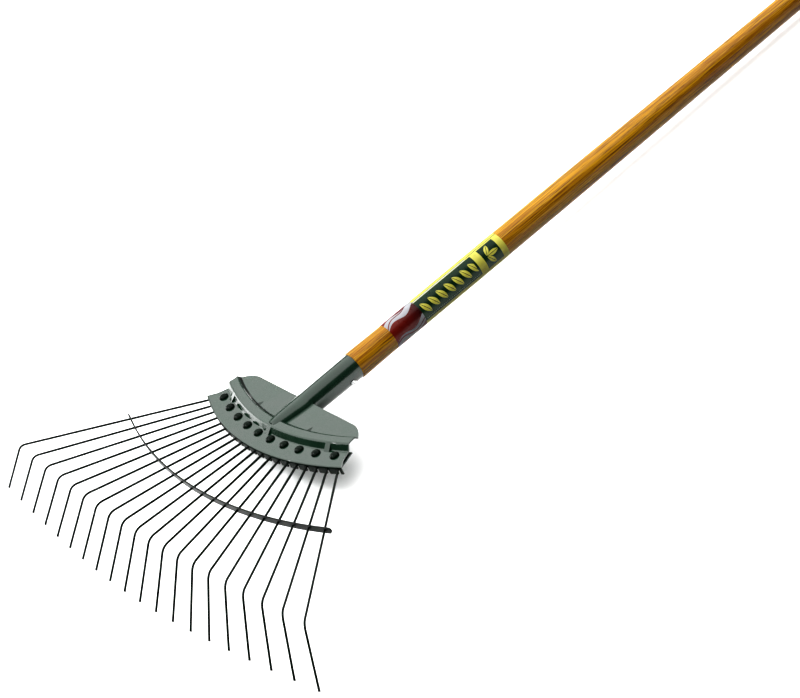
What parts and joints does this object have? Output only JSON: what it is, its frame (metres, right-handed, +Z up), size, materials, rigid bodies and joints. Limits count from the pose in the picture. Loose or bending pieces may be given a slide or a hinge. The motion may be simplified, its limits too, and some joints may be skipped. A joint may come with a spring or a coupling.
{
  "type": "leaf rake",
  "caption": "Spring-tine leaf rake: flat fan of hairpin wires riveted into a pressed steel head, arc brace strip, and long tapered ash handle in a tubular socket.",
  "frame": {"origin": "on the ground, at the centre of the rake's bounding box, with the rake lying on its tips and the end of the handle", "axes": "+Z up, +Y from the tines along the handle towards the grip, X across the fan"},
  "size_m": [0.6198, 1.5069, 0.0484],
  "materials": {
    "ash": "clear varnish over straight-grained ash",
    "green_enamel": "gloss dark green enamel",
    "rivet_enamel": "gloss dark green enamel",
    "spring_wire": "semi-gloss near-black green paint on spring wire",
    "dark_strip": "semi-gloss near-black green paint",
    "zinc": "bright zinc plate",
    "label_film": "glossy printed film, dark green with yellow borders and a maroon and silver lower panel, no lettering"
  },
  "bodies": {
    "root": {"handle": "ash", "socket": "green_enamel", "head_plate": "green_enamel", "back_plate": "green_enamel", "tine_pair_01": "spring_wire", "tine_pair_02": "spring_wire", "tine_pair_03": "spring_wire", "tine_pair_04": "spring_wire", "tine_pair_05": "spring_wire", "tine_pair_06": "spring_wire", "tine_pair_07": "spring_wire", "tine_pair_08": "spring_wire", "tine_pair_09": "spring_wire", "tine_pair_10": "spring_wire", "brace_strip": "dark_strip", "rivet_01": "rivet_enamel", "rivet_02": "rivet_enamel", "rivet_03": "rivet_enamel", "rivet_04": "rivet_enamel", "rivet_05": "rivet_enamel", "rivet_06": "rivet_enamel", "rivet_07": "rivet_enamel", "rivet_08": "rivet_enamel", "rivet_09": "rivet_enamel", "rivet_10": "rivet_enamel", "socket_screw": "zinc", "label_sleeve": "label_film"}
  },
  "joints": []
}
